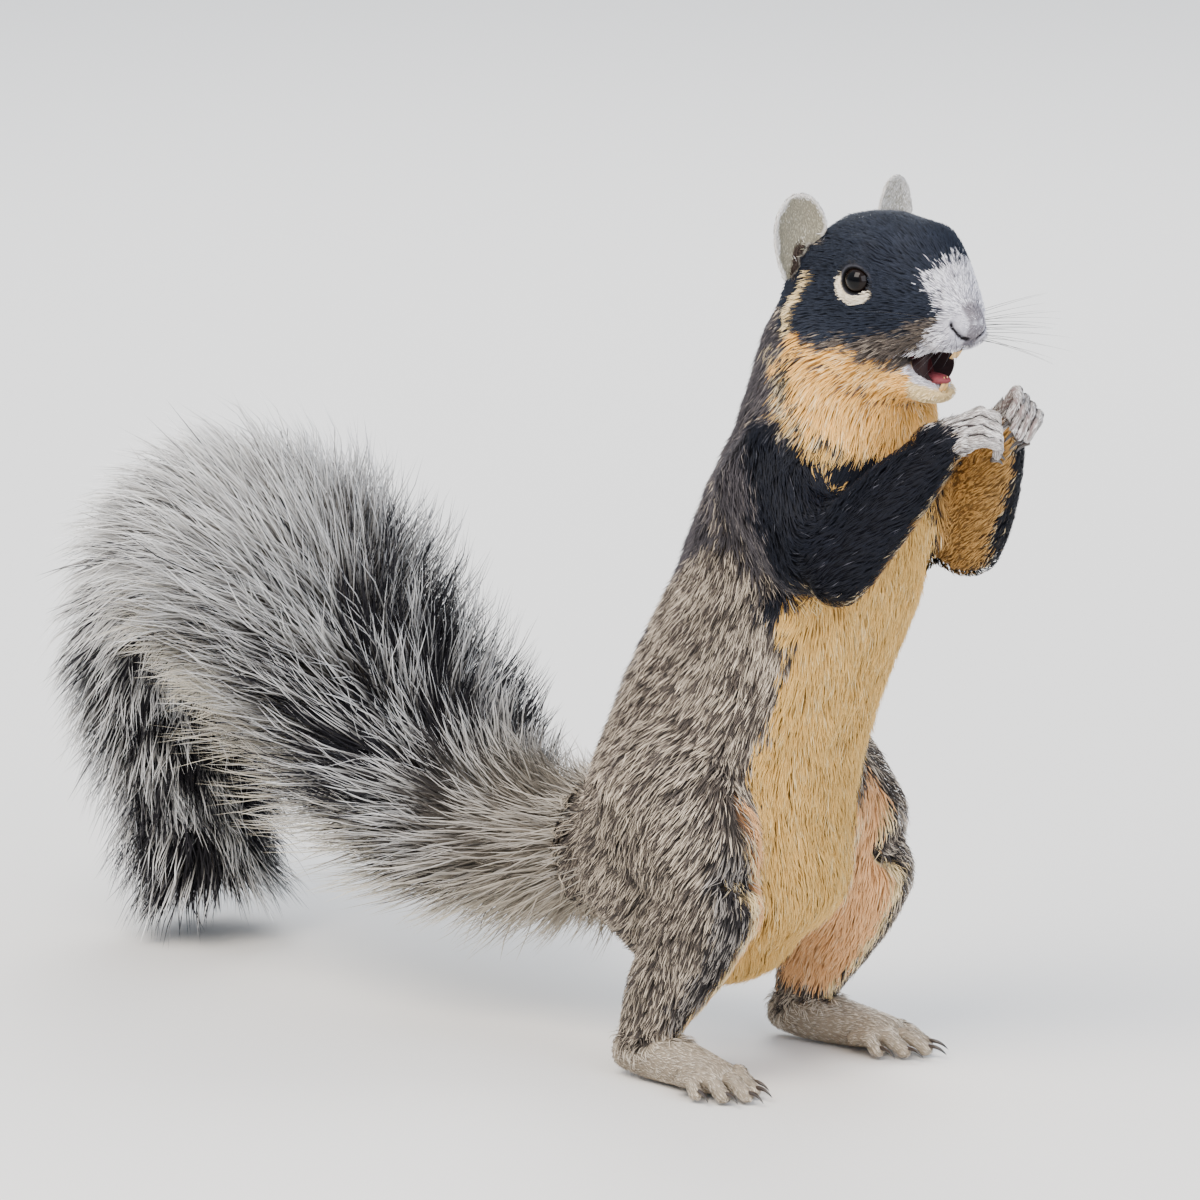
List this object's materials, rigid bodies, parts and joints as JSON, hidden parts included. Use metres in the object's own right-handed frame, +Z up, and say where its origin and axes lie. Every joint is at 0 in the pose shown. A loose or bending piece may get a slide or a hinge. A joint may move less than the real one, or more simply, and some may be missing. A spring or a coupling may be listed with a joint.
{
  "type": "squirrel",
  "caption": "Life-size still model of a fox squirrel, upright on its hind feet with its forepaws together at its mouth.",
  "frame": {"origin": "centre of the bottom of the whole model's box, on the floor it stands on", "axes": "+X forwards, the way the animal faces, +Y to its left, +Z up"},
  "size_m": [0.4228, 0.1144, 0.2963],
  "materials": {
    "black_coat": "short glossy black fur",
    "grizzled_coat": "grizzled grey and tan fur",
    "buff_coat": "soft buff fur",
    "pale_coat": "short pale fur",
    "tail_coat": "long hair frosted with silver",
    "eye": "wet gloss",
    "nose_skin": "fine pebbled skin",
    "claw": "satin horn",
    "tooth": "smooth enamel",
    "whisker": "smooth dark hair"
  },
  "bodies": {
    "root": {"hips": "grizzled_coat", "abdomen": "grizzled_coat", "chest": "grizzled_coat", "neck": "black_coat", "head": "black_coat", "lower_jaw": "buff_coat", "nose": "nose_skin", "ear_right": "pale_coat", "ear_left": "pale_coat", "eye_right": "eye", "eye_left": "eye", "incisors_upper": "tooth", "incisors_lower": "tooth", "upper_arm_right": "black_coat", "upper_arm_left": "black_coat", "forearm_right": "black_coat", "forearm_left": "black_coat", "hand_right": "pale_coat", "hand_left": "pale_coat", "thigh_right": "grizzled_coat", "thigh_left": "grizzled_coat", "shank_right": "grizzled_coat", "shank_left": "grizzled_coat", "foot_right": "pale_coat", "foot_left": "pale_coat", "claw_hand_right_1": "claw", "claw_hand_right_2": "claw", "claw_hand_right_3": "claw", "claw_hand_right_4": "claw", "claw_foot_right_1": "claw", "claw_foot_right_2": "claw", "claw_foot_right_3": "claw", "claw_foot_right_4": "claw", "claw_foot_right_5": "claw", "claw_hand_left_1": "claw", "claw_hand_left_2": "claw", "claw_hand_left_3": "claw", "claw_hand_left_4": "claw", "claw_foot_left_1": "claw", "claw_foot_left_2": "claw", "claw_foot_left_3": "claw", "claw_foot_left_4": "claw", "claw_foot_left_5": "claw", "tail_root": "tail_coat", "tail_rise": "tail_coat", "tail_arch": "tail_coat", "tail_tip": "tail_coat"}
  },
  "joints": []
}
